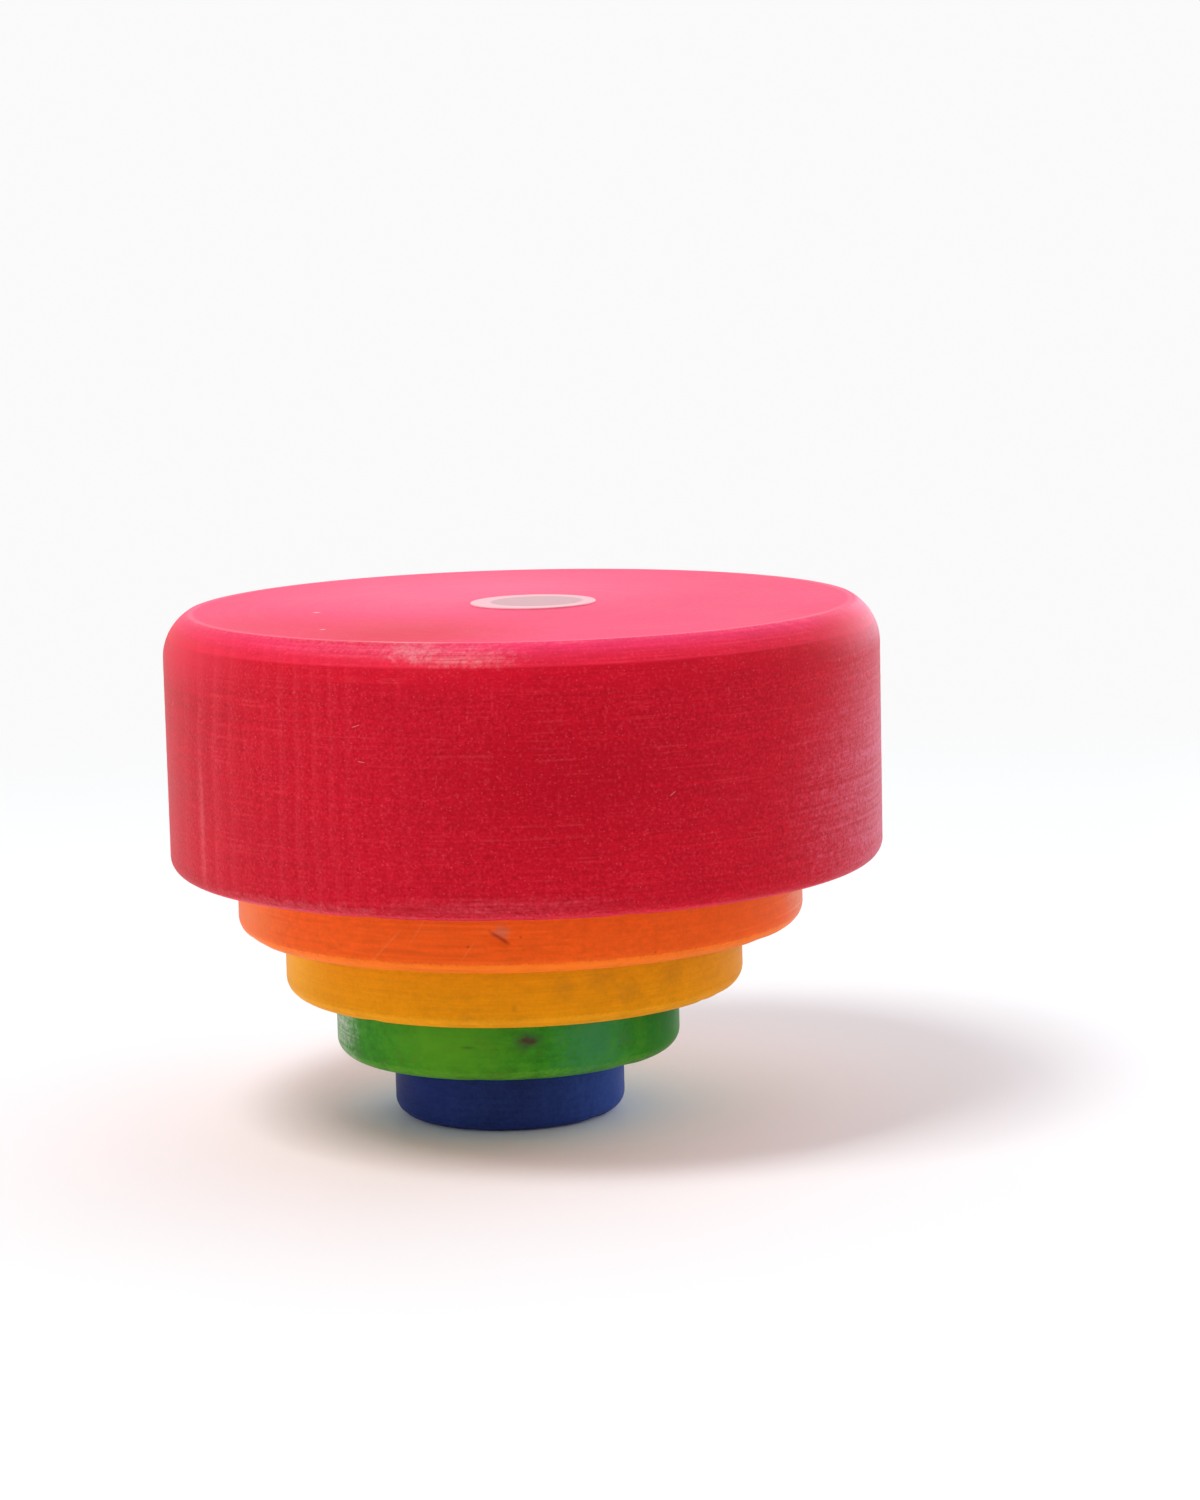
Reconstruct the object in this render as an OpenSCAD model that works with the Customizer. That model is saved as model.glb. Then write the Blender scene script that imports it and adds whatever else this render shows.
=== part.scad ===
// Set of five nesting bowls turned from wood, stacked upside down on the rim of the smallest.
// Millimetres. The origin is on the largest bowl's axis, at the height of the table, with +Z up.

/* [Bowls] */
// Height of each bowl, from its rim to its base
bowl_h = 36; // [30:0.5:48]
// Thickness of each base, which is also the step from one rim to the next
base_t = 9; // [6:0.5:14]
// Gap all round between a bowl and the one inside it, when both share an axis
nest_play = 1.5; // [1:0.05:2.5]
// Gap left on the tight side where a loose bowl has been pushed over inside the one that covers it
side_gap = 0.4; // [0.3:0.05:0.9]

/* [Diameter and walls] */
// Outer diameter of the blue bowl, the smallest
blue_d = 32.5; // [30:0.5:44]
// Wall of the blue bowl
blue_wall = 6.5; // [4:0.25:8]
// Wall of the green bowl
green_wall = 6.5; // [4:0.25:10]
// Wall of the yellow bowl
yellow_wall = 6.5; // [4:0.25:10]
// Wall of the orange bowl
orange_wall = 6; // [4:0.25:10]
// Wall of the red bowl, the largest
red_wall = 8.75; // [4:0.25:12]

/* [Edges] */
// Radius of the arc turned on the outer edge of each base
base_edge_r = 7; // [4:0.5:9]
// Depth that facing the base flat takes off the crown of that arc
base_faced = 1; // [0.25:0.25:2]
// Radius that eases the outer edge of each rim
rim_outer_r = 2.4; // [0.8:0.1:2.6]
// Radius that eases the inner edge of each rim
rim_inner_r = 1.2; // [0.4:0.1:1.3]

/* [Label] */
// Diameter of the round paper label on the red base
label_d = 17.5; // [10:0.5:30]
// Thickness of the label
label_t = 0.2; // [0.1:0.05:0.5]
// Distance from the red bowl's axis to the centre of the label, which was stuck on by hand
label_off = 1.7; // [0:0.1:4]

/* [Hidden] */
$fn = 96;

// Each bowl is one play and one wall wider than the bowl inside it
blue_r = blue_d / 2;
green_r = blue_r + nest_play + green_wall;
yellow_r = green_r + nest_play + yellow_wall;
orange_r = yellow_r + nest_play + orange_wall;
red_r = orange_r + nest_play + red_wall;

// Each hollow ends flat on the base of the bowl inside it, so rims rise by one base thickness a bowl
blue_rim_z = 0;
green_rim_z = blue_rim_z + base_t;
yellow_rim_z = green_rim_z + base_t;
orange_rim_z = yellow_rim_z + base_t;
red_rim_z = orange_rim_z + base_t;
top_z = red_rim_z + bowl_h;

// The loose bowls sit where a hand left them: each pushed over inside the next, apart from the blue one
push = nest_play - side_gap;
red_x = 0;
orange_x = red_x - push;
yellow_x = orange_x - push;
green_x = yellow_x - push;
blue_x = green_x;

hollow_h = bowl_h - base_t;

// The hollow's corner is struck wider than a base edge by the play, so the gap runs on round the arc
hollow_edge_r = base_edge_r + nest_play;

// Distance from a faced end, base or hollow floor, back to the centre of its corner arc
edge_centre_h = base_edge_r - base_faced;

// Waste outside the arc where a wall of radius wall_r meets a flat end at height end_h
module corner_waste(wall_r, end_h, arc_r) {
    translate([wall_r - arc_r, end_h - edge_centre_h])
        difference() {
            square([arc_r, edge_centre_h]);
            circle(arc_r);
        }
}

// Waste outside the arc that eases a rim edge at the origin, with the wall on its +X side
module rim_waste(arc_r) {
    difference() {
        square(arc_r);
        translate([arc_r, arc_r])
            circle(arc_r);
    }
}

// Half section of the hollow, from the rim up to its flat floor
module hollow_section(wall_r) {
    difference() {
        square([wall_r, hollow_h]);
        corner_waste(wall_r, hollow_h, hollow_edge_r);
    }
}

// Half section of one bowl, upside down with its rim on the X axis
module bowl_section(outer_r, wall) {
    inner_r = outer_r - wall;
    difference() {
        square([outer_r, bowl_h]);
        corner_waste(outer_r, bowl_h, base_edge_r);
        hollow_section(inner_r);
        translate([inner_r, 0])
            rim_waste(rim_inner_r);
        translate([outer_r, 0])
            mirror([1, 0])
                rim_waste(rim_outer_r);
    }
}

module turned_bowl(outer_r, wall, axis_x, rim_z) {
    translate([axis_x, 0, rim_z])
        rotate_extrude()
            bowl_section(outer_r, wall);
}

module blue_bowl() {
    color("#1f2f66")
        turned_bowl(blue_r, blue_wall, blue_x, blue_rim_z);
}

module green_bowl() {
    color("#427a20")
        turned_bowl(green_r, green_wall, green_x, green_rim_z);
}

module yellow_bowl() {
    color("#d98714")
        turned_bowl(yellow_r, yellow_wall, yellow_x, yellow_rim_z);
}

module orange_bowl() {
    color("#de4c16")
        turned_bowl(orange_r, orange_wall, orange_x, orange_rim_z);
}

module red_bowl() {
    color("#b91629")
        turned_bowl(red_r, red_wall, red_x, red_rim_z);
}

// Thin disc stuck on the flat of the red base, a little off the axis
module round_label() {
    color("#e6dccf")
        translate([red_x + label_off, 0, top_z])
            cylinder(d = label_d, h = label_t);
}

blue_bowl();
green_bowl();
yellow_bowl();
orange_bowl();
red_bowl();
round_label();
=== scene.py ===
"""Five turned wooden stacking bowls, nested upside down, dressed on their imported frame.

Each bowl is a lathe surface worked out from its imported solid, with stained wood, turning lines,
grain and wear made by shader nodes. Lengths are metres, with +Z up; shaders work in millimetres.
"""

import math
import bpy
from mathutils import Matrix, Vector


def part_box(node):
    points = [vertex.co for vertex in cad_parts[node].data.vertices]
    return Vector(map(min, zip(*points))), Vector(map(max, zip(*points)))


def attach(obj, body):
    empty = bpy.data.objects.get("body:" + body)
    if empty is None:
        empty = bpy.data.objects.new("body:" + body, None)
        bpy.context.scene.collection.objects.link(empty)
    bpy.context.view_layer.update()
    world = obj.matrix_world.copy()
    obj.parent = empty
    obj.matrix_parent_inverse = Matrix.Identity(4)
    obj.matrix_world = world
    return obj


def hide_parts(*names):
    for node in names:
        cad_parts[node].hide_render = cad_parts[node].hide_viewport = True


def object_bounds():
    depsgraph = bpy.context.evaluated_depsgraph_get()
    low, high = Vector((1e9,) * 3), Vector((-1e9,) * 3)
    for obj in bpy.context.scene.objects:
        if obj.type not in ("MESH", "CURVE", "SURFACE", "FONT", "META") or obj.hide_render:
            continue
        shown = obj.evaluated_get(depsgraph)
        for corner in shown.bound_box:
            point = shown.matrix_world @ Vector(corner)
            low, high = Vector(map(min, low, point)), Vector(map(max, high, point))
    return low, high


bl_info = {
    "name": "Turned stacking bowls",
    "version": (1, 0, 0),
    "blender": (4, 5, 0),
    "location": "3D View > Sidebar > Bowls",
    "description": "Turns a nest of five stained wooden bowls and sets it on a pale studio floor",
    "category": "Add Mesh",
}

from collections import namedtuple

import bpy
import numpy as np
from bpy.props import FloatProperty, FloatVectorProperty, IntProperty, PointerProperty
from mathutils import Matrix, Vector

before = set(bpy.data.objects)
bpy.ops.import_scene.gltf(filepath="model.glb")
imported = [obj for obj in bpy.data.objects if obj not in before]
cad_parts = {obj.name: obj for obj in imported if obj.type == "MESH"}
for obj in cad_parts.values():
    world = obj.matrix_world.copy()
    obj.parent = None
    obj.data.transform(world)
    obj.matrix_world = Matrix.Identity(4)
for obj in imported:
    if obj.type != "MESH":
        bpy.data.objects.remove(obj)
CAD_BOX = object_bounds()

MM = 0.001
WHITE = (1.0, 1.0, 1.0)

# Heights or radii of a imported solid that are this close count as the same
NEAR = 0.01 * MM

# Gaps under the rim that stands on the floor, and over each base that carries the next bowl's hollow,
# so that no two faces lie in one plane
FLOOR_GAP = 0.02 * MM
SEAT_GAP = 0.02 * MM

# Closely spaced rings on the base flat, just inside its edge
FINE_RINGS = 6

# Pitch of the turning lines that the shaders draw, in millimetres
LINE_PITCH = 0.42

# Power that keeps growth rings to the places where the wall cuts squarely across the grain
END_GRAIN_POWER = 3.0

# Length along the section that is sanded paler, from the edge of the base flat
EDGE_BAND = 4.3 * MM

# A place on a bowl: degrees round from the front towards the right, then millimetres above its rim,
# half width, half height and depth in from the outer radius
Mark = namedtuple("Mark", "turn height wide tall inset", defaults=(0.0,))

# A dent in a bowl's wall, placed as a mark is, with its depth in millimetres
Dent = namedtuple("Dent", "turn height wide tall deep")

BowlSizes = namedtuple(
    "BowlSizes",
    "axis_x axis_y outer_r inner_r base_z rim_z floor_z base_flat_r floor_flat_r"
    " edge_h outer_ease inner_ease",
)

# Half section of a bowl, with the lengths along it at which the base edge, the wall, the rim's outer easing
# and the hollow start
Section = namedtuple("Section", "radius height along base_edge wall rim hollow")

# What turns a bowl: its finish, the heading of its grain in degrees from the front, and the dents that show
Turning = namedtuple("Turning", "finish heading dents")


# Settings


def length_setting(name, description, default):
    """A setting that holds a length."""
    return FloatProperty(name=name, description=description, default=default, unit="LENGTH")


def place_setting(name, description, default):
    """A setting that holds a place in the scene."""
    return FloatVectorProperty(
        name=name, description=description, default=default, subtype="TRANSLATION", unit="LENGTH"
    )


def angle_setting(name, description, degrees):
    """A setting that holds an angle, whose default is given in degrees."""
    return FloatProperty(name=name, description=description, default=math.radians(degrees), subtype="ANGLE")


def power_setting(name, description, default):
    """A setting that holds a lamp's power."""
    return FloatProperty(name=name, description=description, default=default, unit="POWER")


def strength_setting(name, description, default):
    """A setting that holds a strength of light, which has no unit."""
    return FloatProperty(name=name, description=description, default=default, min=0.0)


def colour_setting(name, description, default):
    """A setting that holds a colour."""
    return FloatVectorProperty(name=name, description=description, default=default, subtype="COLOR")


class TurningSizes(bpy.types.PropertyGroup):
    """Steps of the lathe surfaces and the size of the marks that turning leaves."""

    steps_round: IntProperty(name="Steps round", description="Faces round each bowl", default=384, min=64)
    base_step: length_setting("Base step", "Distance between rings on the base flat", 0.9 * MM)
    arc_step: length_setting(
        "Edge step", "Distance between rings on the base edge and the rim's easings", 0.25 * MM
    )
    wall_step: length_setting("Wall step", "Distance between rings on the outer wall and the rim", 0.36 * MM)
    hollow_step: length_setting("Hollow step", "Distance between rings inside the hollow", 1.2 * MM)
    ripple_pitch: length_setting(
        "Ripple pitch", "Distance between the ripples that the turning tool leaves", 2.3 * MM
    )
    ripple_depth: length_setting("Ripple depth", "Depth of those ripples", 0.012 * MM)
    nicks: IntProperty(
        name="Nicks", description="Small knocks on the base edge and rim of each bowl", default=14, min=0
    )


class StainColours(bpy.types.PropertyGroup):
    """Colour of each bowl's stain, and of the wood under it. The paler edge colours also stand in for the
    light that each rim's lip catches from the floor.
    """

    blue: colour_setting("Blue", "Stain of the smallest bowl", (0.020, 0.035, 0.150))
    blue_edge: colour_setting(
        "Blue edge", "Paler stain of the smallest bowl's eased edges", (0.022, 0.038, 0.170)
    )
    green: colour_setting("Green", "Stain of the second bowl", (0.036, 0.245, 0.014))
    green_edge: colour_setting(
        "Green edge", "Paler stain of the second bowl's eased edges", (0.070, 0.310, 0.020)
    )
    yellow: colour_setting("Yellow", "Stain of the third bowl", (0.77, 0.285, 0.004))
    yellow_edge: colour_setting(
        "Yellow edge", "Paler stain of the third bowl's eased edges", (0.85, 0.340, 0.010)
    )
    orange: colour_setting("Orange", "Stain of the fourth bowl", (0.89, 0.115, 0.008))
    orange_edge: colour_setting(
        "Orange edge", "Paler stain of the fourth bowl's eased edges", (1.0, 0.20, 0.014)
    )
    red: colour_setting("Red", "Stain of the largest bowl", (0.58, 0.0040, 0.020))
    red_edge: colour_setting(
        "Red edge", "Paler stain of the largest bowl's eased edges", (0.74, 0.016, 0.049)
    )
    # Painted sheen: the red base colour is paler and pinker than the wall, standing in for the pale
    # reflection on the base's grazing face
    red_base_with_sheen: colour_setting(
        "Red base", "Stain of the largest bowl's base, which took less colour", (0.88, 0.042, 0.150)
    )
    bare_wood: colour_setting("Bare wood", "Pale wood of the hollows and of worn spots", (0.72, 0.52, 0.34))


class LabelFinish(bpy.types.PropertyGroup):
    """The plain round paper label on the largest bowl's base."""

    border: length_setting("Border", "Width of the pale border", 2.3 * MM)
    field_shift: length_setting(
        "Field shift", "Distance that the field lies off the label's middle, towards +X", 0.5 * MM
    )
    border_colour: colour_setting("Border colour", "Colour of the border", (0.88, 0.48, 0.53))
    field_colour: colour_setting("Field colour", "Colour of the plain field", (0.62, 0.375, 0.400))


class StageSettings(bpy.types.PropertyGroup):
    """Camera, lamp, window light, surrounding light and floor."""

    camera_place: place_setting("Camera place", "Where the camera stands", (0.0, -0.5484, 0.1316))
    camera_yaw: angle_setting("Camera yaw", "Turn of the camera to the right of +Y", 1.105)
    camera_pitch: angle_setting("Camera pitch", "Tilt of the camera below the horizon", 8.367)
    camera_roll: angle_setting("Camera roll", "Turn of the camera about its own line of sight", 1.358)
    camera_lens: FloatProperty(
        name="Lens",
        description="Focal length on a 36 mm sensor, in millimetres",
        default=94.66,
        unit="CAMERA",
    )
    lamp_place: place_setting("Lamp place", "Centre of the soft lamp", (-0.35, -0.27, 0.94))
    lamp_width: length_setting("Lamp width", "Side of the square soft lamp", 0.35)
    lamp_power: power_setting("Lamp power", "Power of the soft lamp", 5.3)
    window_place: place_setting("Window place", "Centre of the cool window light", (0.62, 0.90, 0.06))
    window_width: length_setting("Window width", "Side of the square window light", 0.8)
    window_power: power_setting("Window power", "Power of the window light", 8.0)
    window_colour: colour_setting("Window colour", "Colour of the window light", (0.727, 0.795, 1.0))
    back_light: strength_setting("Back light", "Surrounding light gained towards the back", 1.04)
    right_light: strength_setting("Right light", "Surrounding light gained towards the right", 1.43)
    left_light: strength_setting(
        "Left light", "Surrounding light gained towards the left, close to the horizon", 3.84
    )
    top_light: strength_setting("Top light", "Surrounding light gained towards straight above", 0.30)
    backdrop: strength_setting("Backdrop", "Brightness of the backdrop as the camera sees it", 0.96)
    floor_colour: colour_setting("Floor colour", "Colour of the floor", (0.928, 0.952, 0.960))
    floor_gloss: FloatProperty(
        name="Floor gloss",
        description="Share of the floor's light that it mirrors softly",
        default=0.04,
        min=0.0,
        max=1.0,
        subtype="FACTOR",
    )
    floor_width: length_setting("Floor width", "Side of the square floor", 8.0)
    fade_start: length_setting(
        "Fade start", "Distance from the bowls at which the floor starts to fade into the backdrop", 0.14
    )
    fade_end: length_setting(
        "Fade end", "Distance from the bowls at which the floor has become the backdrop", 0.42
    )


class BowlSettings(bpy.types.PropertyGroup):
    """All the settings of the nest of bowls."""

    turning: PointerProperty(name="Turning", description="Steps and marks of turning", type=TurningSizes)
    stains: PointerProperty(name="Stains", description="Colours of the stains", type=StainColours)
    label: PointerProperty(name="Label", description="Finish of the paper label", type=LabelFinish)
    stage: PointerProperty(name="Stage", description="Camera, light and floor", type=StageSettings)


# Shapes


def measure_bowl(node):
    """Reads a bowl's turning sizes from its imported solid.

    The circle through the edge of the base flat gives the axis. The greatest radius is the wall's, and
    the least below half height is the hollow's. The base edge and the rim's outer easing end at the highest
    and lowest points of full radius, the floor is the highest point within the hollow, and the rim's inner
    easing ends at the lowest point of the hollow's wall. The hollow is given one seat gap more depth.
    """
    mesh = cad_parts[node].data
    points = np.empty(len(mesh.vertices) * 3)
    mesh.vertices.foreach_get("co", points)
    points = points.reshape(-1, 3)
    height = points[:, 2]
    rim_z = height.min()
    base_z = height.max()
    edge = points[height > base_z - NEAR, :2]
    circle = np.column_stack([2 * edge, np.ones(len(edge))])
    axis_x, axis_y, rest = np.linalg.lstsq(circle, (edge**2).sum(1), rcond=None)[0]
    base_flat_r = math.sqrt(rest + axis_x**2 + axis_y**2)
    radius = np.hypot(points[:, 0] - axis_x, points[:, 1] - axis_y)
    outer_r = radius.max()
    inner_r = radius[height < (rim_z + base_z) / 2].min()
    wall = height[radius > outer_r - NEAR]
    within = (radius < inner_r + NEAR) & (height < base_z - NEAR)
    floor_z = height[within].max()
    return BowlSizes(
        axis_x=axis_x,
        axis_y=axis_y,
        outer_r=outer_r,
        inner_r=inner_r,
        base_z=base_z,
        rim_z=rim_z,
        floor_z=floor_z + SEAT_GAP,
        base_flat_r=base_flat_r,
        floor_flat_r=radius[within & (height > floor_z - NEAR)].max(),
        edge_h=base_z - wall.max(),
        outer_ease=wall.min() - rim_z,
        inner_ease=height[within].min() - rim_z,
    )


def straight(start, end, step):
    """Points along the straight line from start towards end, about one step apart, without the end."""
    start = np.array(start)
    run = np.array(end) - start
    count = max(1, round(np.hypot(*run) / step))
    return start + run * (np.arange(count) / count)[:, None]


def arc(centre, radius, first, last, step):
    """Points round a circle from one angle towards another, about one step apart, without the last."""
    count = max(2, round(abs(last - first) * radius / step))
    angle = first + (last - first) * np.arange(count) / count
    return np.array(centre) + radius * np.column_stack([np.cos(angle), np.sin(angle)])


def cut_off_arc(wall_r, flat_r, flat_z, arc_h):
    """Centre, radius and angle of an arc that leaves a wall smoothly and is cut off by a flat.

    With a the step in from the wall to the flat and h the arc's height, its radius is
    (a squared + h squared) / 2a, and h over that radius is the sine of its angle.
    """
    step_in = wall_r - flat_r
    radius = (step_in**2 + arc_h**2) / (2 * step_in)
    return (wall_r - radius, flat_z - arc_h), radius, math.asin(arc_h / radius)


def turned_section(bowl, turning):
    """Half section of one bowl, from the axis at its base, over the outside and rim, to its floor's middle.

    Cut-off arcs make the base edge and the hollow's corner, and quarter circles ease both edges of the rim.
    """
    fine_start = bowl.base_flat_r - FINE_RINGS * turning.arc_step
    base_edge = cut_off_arc(bowl.outer_r, bowl.base_flat_r, bowl.base_z, bowl.edge_h)
    edge_centre, edge_r, edge_angle = base_edge
    hollow_corner = cut_off_arc(bowl.inner_r, bowl.floor_flat_r, bowl.floor_z, bowl.edge_h)
    corner_centre, corner_r, corner_angle = hollow_corner
    outer_top = bowl.rim_z + bowl.outer_ease
    outer_end = bowl.outer_r - bowl.outer_ease
    inner_top = bowl.rim_z + bowl.inner_ease
    inner_end = bowl.inner_r + bowl.inner_ease
    stretches = [
        straight((0, bowl.base_z), (fine_start, bowl.base_z), turning.base_step),
        straight((fine_start, bowl.base_z), (bowl.base_flat_r, bowl.base_z), turning.arc_step),
        arc(edge_centre, edge_r, edge_angle, 0, turning.arc_step),
        straight((bowl.outer_r, edge_centre[1]), (bowl.outer_r, outer_top), turning.wall_step),
        arc((outer_end, outer_top), bowl.outer_ease, 0, -math.pi / 2, turning.arc_step),
        straight((outer_end, bowl.rim_z), (inner_end, bowl.rim_z), turning.wall_step),
        arc((inner_end, inner_top), bowl.inner_ease, -math.pi / 2, -math.pi, turning.arc_step),
        straight((bowl.inner_r, inner_top), (bowl.inner_r, corner_centre[1]), turning.hollow_step),
        arc(corner_centre, corner_r, 0, corner_angle, turning.hollow_step),
        straight((bowl.floor_flat_r, bowl.floor_z), (0, bowl.floor_z), turning.hollow_step),
        np.array([[0, bowl.floor_z]]),
    ]
    points = np.concatenate(stretches)
    along = np.concatenate([[0], np.cumsum(np.hypot(*np.diff(points, axis=0).T))])
    ends = np.cumsum([len(stretch) for stretch in stretches])
    _, edge_start, wall_start, rim_start, _, _, hollow_start = along[ends[:7]]
    return Section(points[:, 0], points[:, 1], along, edge_start, wall_start, rim_start, hollow_start)


def section_normals(section):
    """Unit normals of a half section: its tangents turned a quarter turn, out of the wood."""
    run_out = np.gradient(section.radius)
    run_up = np.gradient(section.height)
    length = np.hypot(run_out, run_up)
    return -run_up / length, run_out / length


def knocks(bowl, turning, seed):
    """Small dents at random places on the rim and the base edge, the same on every run."""
    draw = np.random.default_rng(seed)
    on_rim = 0.4
    on_base_edge = (bowl.base_z - bowl.rim_z) / MM - 2.2
    heights = np.array([on_rim, on_base_edge])
    return [
        Dent(
            turn=draw.uniform(-180, 180),
            height=heights[draw.integers(2)],
            wide=draw.uniform(0.9, 2.4),
            tall=draw.uniform(0.5, 1.1),
            deep=draw.uniform(0.04, 0.16),
        )
        for _ in range(turning.nicks)
    ]


def dent_depth(bowl, turn, height, dents):
    """Depth of dents over a grid: the sum of each one's depth times a bell curve of the way round and up."""
    depth = np.zeros(np.broadcast_shapes(turn.shape, height.shape))
    for dent in dents:
        apart = np.angle(np.exp(1j * (turn - math.radians(dent.turn))))
        across = apart * bowl.outer_r / (dent.wide * MM)
        up = (height - bowl.rim_z - dent.height * MM) / (dent.tall * MM)
        depth += dent.deep * MM * np.exp(-(across**2) - up**2)
    return depth


def turns_round(columns):
    """Angles round the axis, one for each column, with the seam at the back."""
    return -math.pi + 2 * math.pi * np.arange(columns) / columns


def turn_surface(name, axis, radius, height):
    """Mesh of a lathe surface, from grids of its radius and height along the section and round the axis.

    The first and last rows lie on the axis and become one point each. A point stands at the radius times
    the sine of its turn along X, and less the radius times its cosine along Y, so turn 0 faces the front.
    """
    rows, columns = radius.shape
    turn = turns_round(columns)
    x = axis[0] + radius * np.sin(turn)
    y = axis[1] - radius * np.cos(turn)
    grid = np.stack([x, y, height], axis=-1)
    points = np.concatenate([grid[0, :1], grid[1:-1].reshape(-1, 3), grid[-1, :1]])
    index = 1 + np.arange((rows - 2) * columns).reshape(rows - 2, columns)
    beside = np.roll(index, -1, axis=1)
    last = len(points) - 1
    first_fan = np.column_stack([np.zeros(columns, int), index[0], beside[0]])
    last_fan = np.column_stack([index[-1], np.full(columns, last), beside[-1]])
    quads = np.stack([index[:-1], index[1:], beside[1:], beside[:-1]], axis=-1).reshape(-1, 4)
    corners = np.concatenate([first_fan.ravel(), quads.ravel(), last_fan.ravel()])
    sides = np.concatenate([np.full(columns, 3), np.full(len(quads), 4), np.full(columns, 3)])
    mesh = bpy.data.meshes.new(name)
    mesh.vertices.add(len(points))
    mesh.vertices.foreach_set("co", points.ravel())
    mesh.loops.add(len(corners))
    mesh.loops.foreach_set("vertex_index", corners)
    mesh.polygons.add(len(sides))
    mesh.polygons.foreach_set("loop_start", np.cumsum(sides) - sides)
    mesh.update(calc_edges=True)
    mesh.shade_smooth()
    if mesh.validate():
        raise RuntimeError(f"{name} had faces that a mesh can't hold")
    return mesh


def store(mesh, name, grid):
    """Keeps a grid of values on the mesh's points, with one value for each of the two points on the axis."""
    values = np.concatenate([grid[0, :1], grid[1:-1].ravel(), grid[-1, :1]])
    kept = mesh.attributes.new(name, "FLOAT", "POINT")
    kept.data.foreach_set("value", values.astype(np.float32))


def bowl_mesh(name, bowl, turning, heading, dents):
    """Surface of one bowl: its half section carried round the axis, cut by tool ripples and dents.

    The cut goes in along the section's normal. Ripples run along the outside as a sine, whose phase wanders
    in one slow wave and one quicker wave round the bowl, and end where the rim's easing starts. The point on
    the axis takes the mean cut of its row. Two values are kept on the points: the length along the section
    in millimetres, and how far the surface cuts across the grain, which is the size of the normal's part
    along the fibres.
    """
    section = turned_section(bowl, turning)
    out, up = (part[:, None] for part in section_normals(section))
    turn = turns_round(turning.steps_round)[None, :]
    along = section.along[:, None]
    outside = np.clip((section.rim - along) / MM, 0, 1)
    slow_wave = 1.3 * np.sin(turn + 0.7)
    quick_wave = 0.6 * np.sin(2 * turn)
    wander = slow_wave + quick_wave
    ripple = 0.5 + 0.5 * np.sin(2 * math.pi * along / turning.ripple_pitch + wander)
    dented = dent_depth(bowl, turn, section.height[:, None], dents) * (along < section.hollow)
    cut = turning.ripple_depth * ripple * outside + dented
    cut[0] = cut[0].mean()
    radius = np.maximum(section.radius[:, None] - cut * out, 0)
    height = section.height[:, None] - cut * up
    mesh = turn_surface(name, (bowl.axis_x, bowl.axis_y), radius, height)
    store(mesh, "along", np.broadcast_to(along / MM, radius.shape))
    store(mesh, "end_grain", np.abs(out * np.cos(turn - heading)))
    return mesh, section


def label_mesh(name, centre, radius, bottom, top):
    """Surface of the label: a flat paper disc whose cut edge rolls over by a third of its thickness."""
    steps_round = 192
    face_step = 0.5 * MM
    under_step = 2 * MM
    roll = (top - bottom) / 3
    stretches = [
        straight((0, top), (radius - roll, top), face_step),
        arc((radius - roll, top - roll), roll, math.pi / 2, 0, roll / 3),
        straight((radius, top - roll), (radius, bottom), roll),
        straight((radius, bottom), (0, bottom), under_step),
        np.array([[0, bottom]]),
    ]
    points = np.concatenate(stretches)
    whole = np.ones((1, steps_round))
    return turn_surface(name, centre, points[:, :1] * whole, points[:, 1:] * whole)


def new_piece(name, mesh, body, node, material):
    """Puts a finished mesh in the scene, on the body and in the place of the solid that it stands for."""
    mesh.materials.append(material)
    piece = bpy.data.objects.new(name, mesh)
    bpy.context.scene.collection.objects.link(piece)
    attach(piece, body)
    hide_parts(node)


# Shader helpers


def opaque(colour):
    """A colour with full opacity, as a colour socket takes it."""
    return (*colour, 1.0)


def new_material(name):
    """A new material and its node tree."""
    material = bpy.data.materials.new(name)
    material.use_nodes = True
    return material, material.node_tree


def put(tree, kind, inputs, **settings):
    """Places a node, sets it, and gives each named input a value or a link."""
    node = tree.nodes.new(kind)
    for key, value in settings.items():
        setattr(node, key, value)
    for key, value in inputs.items():
        if isinstance(value, bpy.types.NodeSocket):
            tree.links.new(value, node.inputs[key])
        else:
            node.inputs[key].default_value = value
    return node


def sums(tree, operation, *values):
    """One step of arithmetic on plain values."""
    return put(tree, "ShaderNodeMath", dict(enumerate(values)), operation=operation).outputs[0]


def vectors(tree, operation, *values):
    """One step of arithmetic on vectors or colours."""
    return put(tree, "ShaderNodeVectorMath", dict(enumerate(values)), operation=operation).outputs[0]


def scaled(tree, vector, factor):
    """A vector or colour times a value."""
    return put(tree, "ShaderNodeVectorMath", {0: vector, "Scale": factor}, operation="SCALE").outputs[0]


def length_of(tree, vector):
    """Length of a vector."""
    return put(tree, "ShaderNodeVectorMath", {0: vector}, operation="LENGTH").outputs["Value"]


def parts_of(tree, vector):
    """X, Y and Z of a vector."""
    return put(tree, "ShaderNodeSeparateXYZ", {0: vector}).outputs


def joined(tree, x, y, z):
    """A vector of three values."""
    return put(tree, "ShaderNodeCombineXYZ", {0: x, 1: y, 2: z}).outputs[0]


def turned_to(tree, place, heading):
    """Coordinates turned about Z so that the first axis lies along a heading from the front."""
    inputs = {"Vector": place, "Angle": sums(tree, "SUBTRACT", math.pi / 2, heading)}
    return put(tree, "ShaderNodeVectorRotate", inputs, rotation_type="Z_AXIS").outputs[0]


def noise(tree, place, scale, detail=2.0, roughness=0.5):
    """Soft noise about one half, with features one over scale apart."""
    inputs = {"Vector": place, "Scale": scale, "Detail": detail, "Roughness": roughness}
    return put(tree, "ShaderNodeTexNoise", inputs).outputs[0]


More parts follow.
